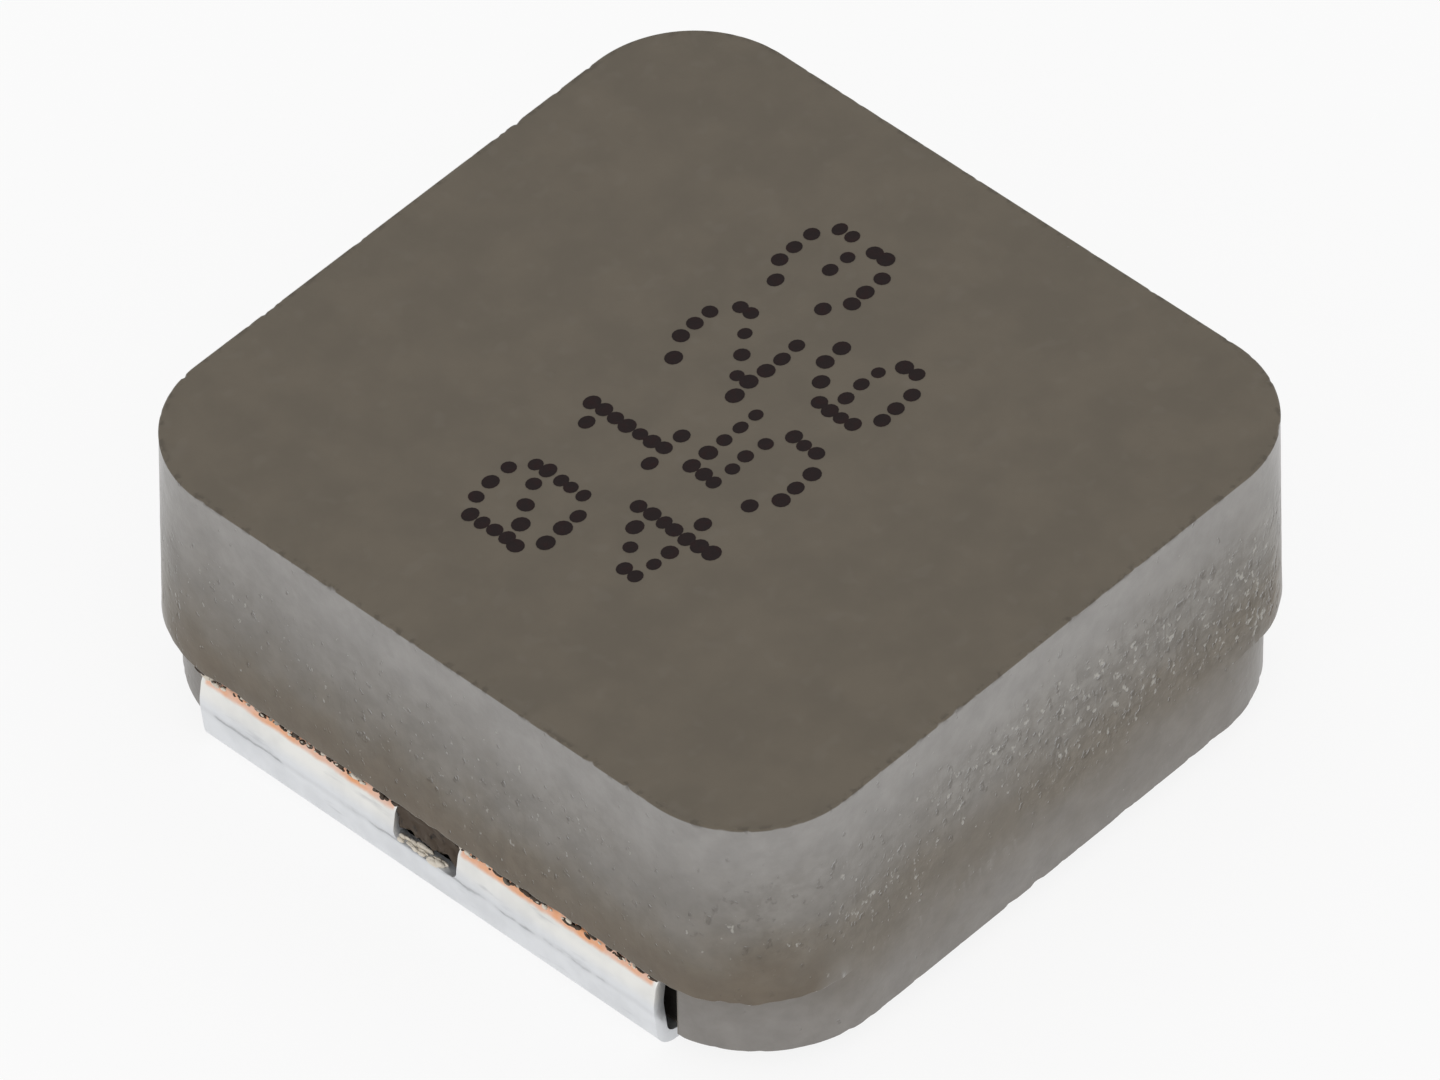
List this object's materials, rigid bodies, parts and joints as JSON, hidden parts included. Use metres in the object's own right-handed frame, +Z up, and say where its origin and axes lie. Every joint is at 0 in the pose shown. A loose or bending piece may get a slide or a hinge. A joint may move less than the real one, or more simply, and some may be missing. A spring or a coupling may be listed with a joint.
{
  "type": "shielded smd inductor",
  "caption": "Flat square power inductor for surface mounting: a rounded block of pressed iron powder around a flat-wire coil, with wide folded solder strips on opposite sides.",
  "frame": {"origin": "centre of the footprint, on the plane of the solder pads", "axes": "+Z up from the board through the body, X from the start terminal (-X) to the finish terminal (+X), Y along the width of the terminals"},
  "size_m": [0.0166, 0.0172, 0.007],
  "materials": {
    "pressed_powder": "matt pressed iron-powder composite, grey brown, finely pitted on the sides",
    "enamelled_copper": "copper wire under clear enamel",
    "tinned_strip": "satin tin plate over copper, bare copper along the fold"
  },
  "bodies": {
    "root": {"moulded_body": "pressed_powder", "coil_winding": "enamelled_copper", "start_terminal": "tinned_strip", "finish_terminal": "tinned_strip"}
  },
  "joints": []
}
